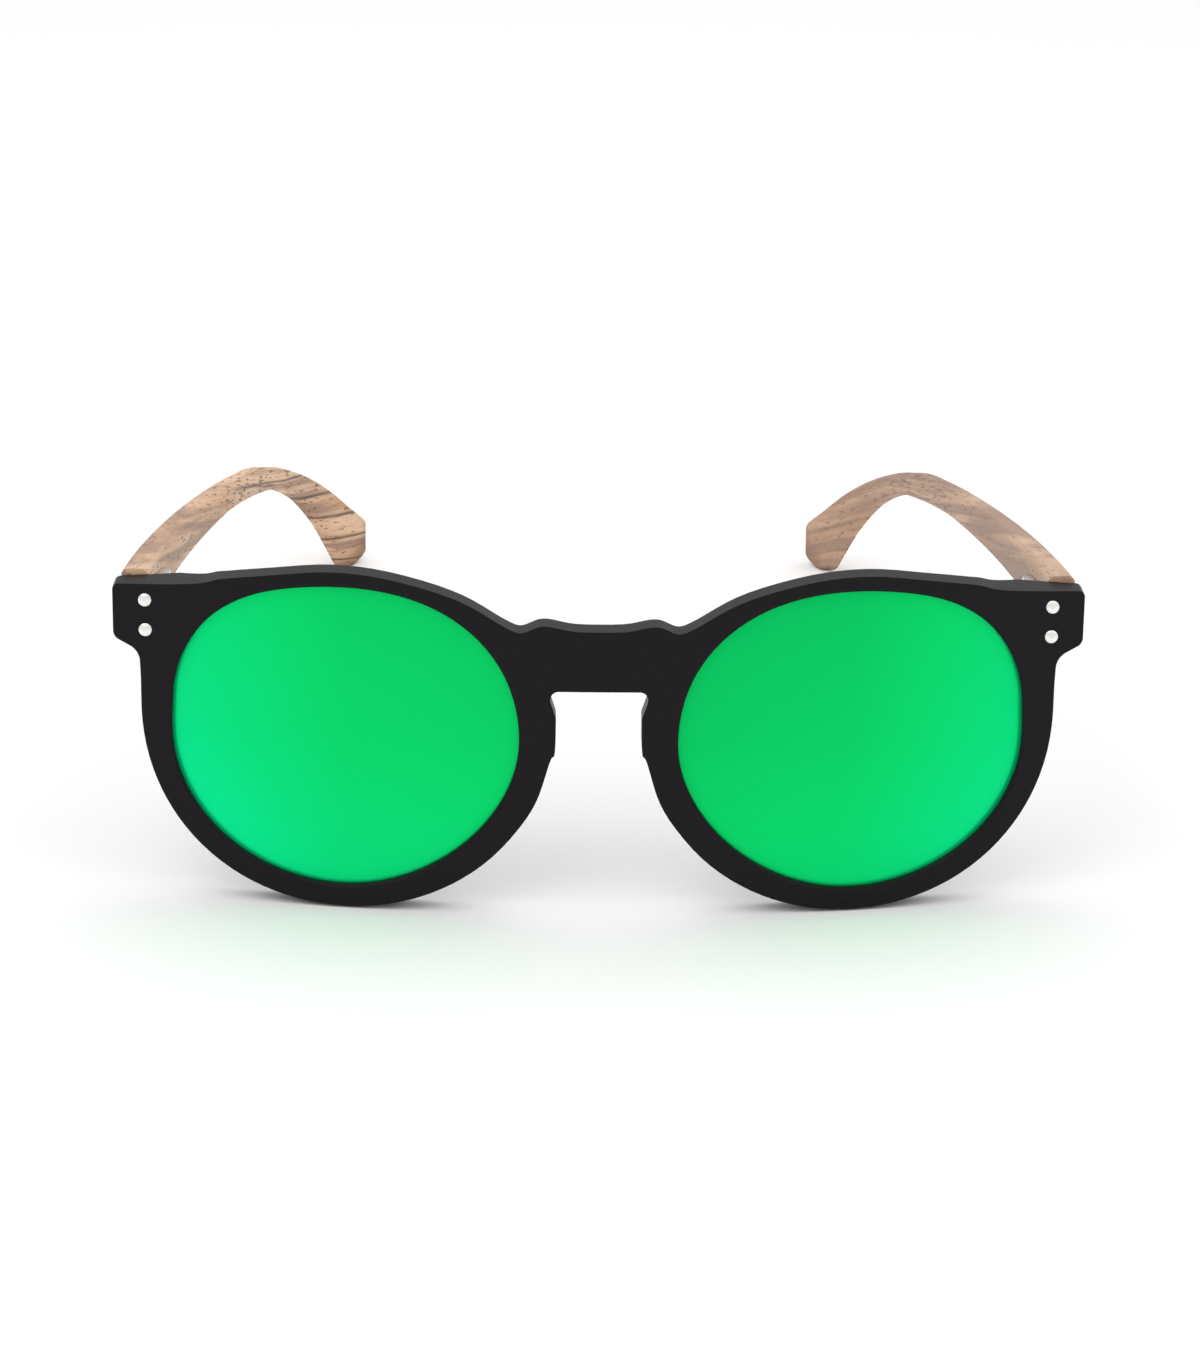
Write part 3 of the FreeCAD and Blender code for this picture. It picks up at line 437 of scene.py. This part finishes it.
def zebra_wood():
    """Pale tan wood with broad grey-brown streaks, a few thin dark layers that cross the
    lowered tip, and dark pores that crowd round the bend. The right temple is duller."""
    tree = Tree("temple_wood")
    shift = tree.add("ShaderNodeVectorMath", {0: tree.coordinates(), 1: tuple(-SHIFT)})
    x, y, z = tree.split(tree.turned(shift.outputs[0], (PITCH, 0, 0)))
    side = tree.math("SIGN", x)
    right = tree.math("MAXIMUM", side, 0.0)
    bow = tree.math("MULTIPLY", tree.math("MULTIPLY", y, y), BOW_RATE)
    across = tree.math("ADD", tree.math("ABSOLUTE", x), bow)
    along = tree.math("ADD", y, tree.math("MULTIPLY", side, PATTERN_GAP))
    height = blank_height(tree, y, z, right)
    blank = tree.add("ShaderNodeCombineXYZ", {"X": across, "Y": along, "Z": height})
    place = blank.outputs[0]

    # pale ground, broad streaks, finer lines and the threads of the grain
    cloud = tree.noise(tree.scaled(place, (70, 22, 160)))
    broad = tree.noise(tree.scaled(place, (90, 17, 330)), detail=3.0, distortion=0.6)
    narrow = tree.noise(tree.scaled(place, (160, 24, 700)), detail=3.0, distortion=0.3)
    fibre = tree.noise(tree.scaled(place, (1300, 90, 2600)), detail=4.0, roughness=0.6)
    colour = tree.mix(tree.grey(cloud, 0.3, 0.7), TAN, PALE_TAN)
    streak = tree.grey(broad, 0.46, 0.58)
    colour = tree.mix(tree.math("MULTIPLY", streak, 0.70), colour, STREAK_BROWN)
    line = tree.grey(narrow, 0.54, 0.64)
    colour = tree.mix(tree.math("MULTIPLY", line, 0.4), colour, LINE_BROWN)
    thread = tree.grey(fibre, 0.35, 0.7)
    colour = tree.mix(tree.math("MULTIPLY", thread, 0.25), colour, THREAD_BROWN)

    # thin dark layers that cross the tip and run into the bend
    wander = tree.math("MULTIPLY", tree.math("SUBTRACT", narrow, 0.5), WANDER)
    layer = tree.math("SUBTRACT", tree.math("ADD", height, wander), TOP_LAYER)
    layer = tree.math("FRACT", tree.math("ADD", tree.math("DIVIDE", layer, LAYER), 0.5))
    nearest = tree.math("ABSOLUTE", tree.math("SUBTRACT", layer, 0.5))
    thin = tree.grey(nearest, 0.10, 0.015)
    back = tree.grey(y, 0.090, 0.112)
    share = tree.math("SUBTRACT", 0.8, tree.math("MULTIPLY", right, 0.4))
    dark = tree.math("MULTIPLY", tree.math("MULTIPLY", thin, back), share)
    colour = tree.mix(dark, colour, LAYER_BROWN)

    # the burnt end
    slant = tree.math("SUBTRACT", y, tree.math("MULTIPLY", z, END_SLANT))
    burnt = tree.grey(slant, *BURNT_END)
    colour = tree.mix(tree.math("MULTIPLY", burnt, 0.6), colour, BURNT_BROWN)

    # pores that crowd round the bend
    dots = tree.noise(tree.scaled(place, (1300, 380, 2100)), detail=1.0)
    crowd = tree.grey(tree.math("ABSOLUTE", tree.math("SUBTRACT", y, BEND)), 0.040, 0.006)
    loss = tree.math("MULTIPLY", tree.math("SUBTRACT", 1.0, crowd), 0.09)
    pits = tree.grey(tree.math("SUBTRACT", dots, loss), 0.56, 0.615)
    colour = tree.mix(tree.math("MULTIPLY", pits, 0.66), colour, PORE_BROWN)
    colour = tree.mix(tree.math("MULTIPLY", right, 0.38), colour, DULL_BROWN)

    rough = tree.between(fibre, 0.42, 0.6)
    tree.set(Base_Color=colour, Roughness=rough, Specular_IOR_Level=0.3)
    relief = tree.math("SUBTRACT", tree.math("MULTIPLY", fibre, 0.35), pits)
    tree.set(Normal=tree.bump(relief, 0.00003, 0.6, tree.soft_edges(0.0006)))
    for piece in temples:
        piece.data.materials.append(tree.material)
    wear(tree, *both("temple"))


# The metal pieces

METAL_EDGE = 0.00008
BRUSHING = 0.000004


def metal(name, colour, roughness, nodes, brushed=0.0):
    """Bare or plated metal, with an optional fine brushing along the temples."""
    tree = Tree(name)
    tree.set(Base_Color=(*colour, 1.0), Metallic=1.0, Roughness=roughness)
    normal = tree.soft_edges(METAL_EDGE)
    if brushed:
        place = tree.scaled(tree.turned(tree.coordinates(), (PITCH, 0, 0)), (9000, 300, 9000))
        normal = tree.bump(tree.noise(place), brushed, 0.5, normal)
    tree.set(Normal=normal)
    wear(tree, *nodes)
    return tree


moulded_front()
mirrored_lens()
zebra_wood()
metal("rivet_silver", (0.92, 0.91, 0.88), 0.42, both("upper_rivet", "lower_rivet"))
metal("hinge_nickel", (0.64, 0.63, 0.61), 0.28, both("front_hinge", "slider"), BRUSHING)
metal("screw_steel", (0.70, 0.69, 0.67), 0.25, both("hinge_screw", "box_screw"))
steel = metal("inner_steel", (0.55, 0.55, 0.54), 0.3, both("spring", "rod_nut", "spring_stop"))
for piece in coils:
    piece.data.materials.append(steel.material)
metal("box_nickel", (0.80, 0.80, 0.82), 0.34, both("spring_box"), BRUSHING)


# Floor, light and camera

FLOOR_HALF = 4.0
LIT_POINT = (0, 0, 0.02)
SKY_LOW = (0.50, 0.50, 0.50, 1.0)
WHITE = (1.0, 1.0, 1.0, 1.0)


def floor():
    """A wide pale floor with a soft shadow."""
    mesh = bpy.data.meshes.new("floor")
    corners = FLOOR_HALF * np.array([[-1, -1], [1, -1], [1, 1], [-1, 1]])
    points = np.column_stack([corners, np.zeros(4)])
    mesh.from_pydata(points.tolist(), [], [[0, 1, 2, 3]])
    plane = show("floor", mesh)
    tree = Tree("floor_white")
    tree.set(Base_Color=(0.93, 0.93, 0.93, 1.0), Roughness=0.9, Specular_IOR_Level=0.1)
    mesh.materials.append(tree.material)


def lamp(name, place, width, height, power):
    """A soft rectangular light, aimed at the front."""
    data = bpy.data.lights.new(name, "AREA")
    data.shape = "RECTANGLE"
    data.size = width
    data.size_y = height
    data.energy = power
    light = show(name, data)
    light.location = place
    way = Vector(LIT_POINT) - Vector(place)
    light.rotation_euler = way.to_track_quat("-Z", "Y").to_euler()


def sky():
    """White all round, brighter overhead, and plain white where the camera looks past."""
    world = bpy.data.worlds.new("studio")
    bpy.context.scene.world = world
    world.use_nodes = True
    nodes, links = world.node_tree.nodes, world.node_tree.links
    back = next(n for n in nodes if n.type == "BACKGROUND")
    place = nodes.new("ShaderNodeTexCoord")
    split = nodes.new("ShaderNodeSeparateXYZ")
    links.new(place.outputs["Generated"], split.inputs[0])
    height = nodes.new("ShaderNodeMapRange")
    height.inputs["From Min"].default_value = -1.0
    links.new(split.outputs["Z"], height.inputs["Value"])
    ramp = nodes.new("ShaderNodeValToRGB")
    links.new(height.outputs[0], ramp.inputs["Fac"])
    low, high = ramp.color_ramp.elements
    low.position = 0.45
    low.color = SKY_LOW
    high.position = 0.95
    high.color = WHITE
    path = nodes.new("ShaderNodeLightPath")
    mix = nodes.new("ShaderNodeMix")
    mix.data_type = "RGBA"
    links.new(path.outputs["Is Camera Ray"], mix.inputs["Factor"])
    links.new(ramp.outputs["Color"], mix.inputs[6])
    mix.inputs[7].default_value = WHITE
    links.new(mix.outputs[2], back.inputs["Color"])


# the view, measured with level temples: degrees above the front, aside and of roll, the point
# that it looks at, its distance, and its lens and sensor in millimetres
VIEW_ANGLES = (11.18, -1.05, 0.64)
VIEW_POINT = Vector((0.00005, 0.0, -0.01469))
VIEW_DISTANCE = 0.6
VIEW_LENS = 108.9
VIEW_SENSOR = 36.0


def camera():
    """The photo's own view, from in front and a little above."""
    lean, turn, roll = (math.radians(angle) for angle in VIEW_ANGLES)
    back = Vector(
        (math.sin(turn) * math.cos(lean), -math.cos(turn) * math.cos(lean), math.sin(lean))
    )
    right = Vector((0, 0, 1)).cross(back).normalized()
    up = back.cross(right)
    right, up = (
        math.cos(roll) * right + math.sin(roll) * up,
        math.cos(roll) * up - math.sin(roll) * right,
    )
    axes = [direction(axis) for axis in (right, up, back)]
    turned = Matrix(axes).transposed().to_4x4()
    data = bpy.data.cameras.new("view")
    data.sensor_fit = "VERTICAL"
    data.sensor_height = VIEW_SENSOR
    data.lens = VIEW_LENS
    data.clip_start = 0.01
    data.clip_end = 20.0
    data.dof.use_dof = False
    eye = show("view", data)
    eye.matrix_world = Matrix.Translation(stand(VIEW_POINT + back * VIEW_DISTANCE)) @ turned
    bpy.context.scene.camera = eye


floor()
lamp("key", (-0.35, -0.45, 0.75), 0.6, 0.6, 1.2)
lamp("fill", (0.55, -0.30, 0.55), 0.5, 0.5, 0.6)
lamp("top", (0.0, 0.25, 0.85), 0.9, 0.5, 1.5)
sky()
camera()
bpy.context.scene.view_settings.view_transform = "Standard"
